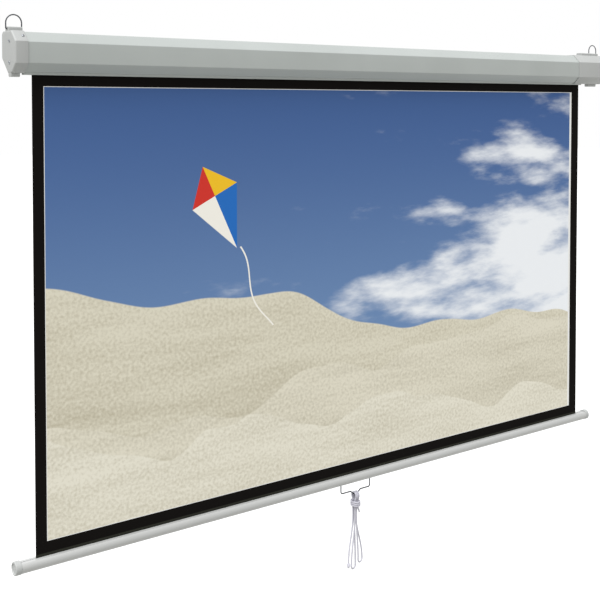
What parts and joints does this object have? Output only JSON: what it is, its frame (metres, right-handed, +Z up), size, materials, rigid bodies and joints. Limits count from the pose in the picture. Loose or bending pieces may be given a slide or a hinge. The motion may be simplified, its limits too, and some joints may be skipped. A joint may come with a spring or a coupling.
{
  "type": "projector screen",
  "caption": "Pull-down projector screen: faceted case with end caps and wire hangers, spring roller with automatic lock, bordered sheet, weight bar, wire pull and looped cord.",
  "frame": {"origin": "on the case's flat back face, level with the roller and half way along the sheet", "axes": "+X along the case towards the spring end, +Y out of the case's back towards the wall, +Z up"},
  "size_m": [2.0882, 0.0763, 1.5162],
  "materials": {
    "powder_coat": "fine satin powder coat, light grey",
    "cap_plastic": "moulded, light grey",
    "zinc_steel": "zinc plated",
    "spring_steel": "drawn wire, dark",
    "white_nylon": "moulded, natural white",
    "bar_paint": "light grey paint on extruded aluminium",
    "screen_fabric": "matt white coated cloth with a black border",
    "white_cord": "braided, white"
  },
  "bodies": {
    "case": {"case_shell": "powder_coat", "left_cap": "cap_plastic", "right_cap": "cap_plastic", "left_cap_upper_screw": "zinc_steel", "left_cap_lower_screw": "zinc_steel", "left_cap_front_screw": "zinc_steel", "right_cap_upper_screw": "zinc_steel", "right_cap_lower_screw": "zinc_steel", "left_bracket": "zinc_steel", "right_bracket": "zinc_steel", "idler_bush": "white_nylon", "spindle": "zinc_steel", "lock_washer": "zinc_steel", "spring_washer": "zinc_steel", "ratchet_wheel": "zinc_steel", "ratchet_cross_pin": "zinc_steel", "hub_cross_pin": "zinc_steel", "spring_hub": "white_nylon", "lift_spring": "spring_steel", "screen_sheet": "screen_fabric"},
    "roller": {"roller_tube": "zinc_steel", "fabric_wraps": "screen_fabric", "idler_plug": "white_nylon", "idler_pin": "zinc_steel", "drive_plug": "white_nylon", "spring_anchor": "white_nylon", "upper_pawl_pin": "zinc_steel", "lower_pawl_pin": "zinc_steel"},
    "bar": {"weight_bar": "bar_paint", "hem_rod": "white_nylon", "left_bar_plug": "cap_plastic", "right_bar_plug": "cap_plastic"},
    "handle": {"pull_bracket": "spring_steel", "pull_cord": "white_cord", "cord_tie": "white_cord"},
    "left_hanger": {"left_bail": "spring_steel"},
    "right_hanger": {"right_bail": "spring_steel"},
    "upper_pawl": {"upper_pawl": "spring_steel"},
    "lower_pawl": {"lower_pawl": "spring_steel"}
  },
  "joints": [
    {"name": "screen_lift", "type": "slide", "parent": "case", "child": "bar", "axis": [0, 0, 1], "range_m": [0, 1.094], "deforming": ["screen_sheet"]},
    {"name": "roller_spin", "type": "hinge", "parent": "case", "child": "roller", "pos_m": [0, -0.02345, 0], "axis": [1, 0, 0], "range_deg": [-3421, 0]},
    {"name": "handle_swing", "type": "hinge", "parent": "bar", "child": "handle", "pos_m": [-0.006, -0.041, -1.1779], "axis": [1, 0, 0], "range_deg": [-35, 35]},
    {"name": "left_hanger_swing", "type": "hinge", "parent": "case", "child": "left_hanger", "pos_m": [-0.9975, -0.028, 0.05108], "axis": [1, 0, 0], "range_deg": [-90, 90]},
    {"name": "right_hanger_swing", "type": "hinge", "parent": "case", "child": "right_hanger", "pos_m": [1.0505, -0.028, 0.05108], "axis": [1, 0, 0], "range_deg": [-90, 90]},
    {"name": "upper_pawl_drop", "type": "hinge", "parent": "roller", "child": "upper_pawl", "pos_m": [0.9793, -0.02345, 0.0126], "axis": [1, 0, 0], "range_deg": [0, 12]},
    {"name": "lower_pawl_drop", "type": "hinge", "parent": "roller", "child": "lower_pawl", "pos_m": [0.9793, -0.02345, -0.0126], "axis": [1, 0, 0], "range_deg": [0, 12]}
  ],
  "couplings": [
    {"joint": "roller_spin", "follows": "screen_lift", "rad_per_m": -54.562}
  ]
}
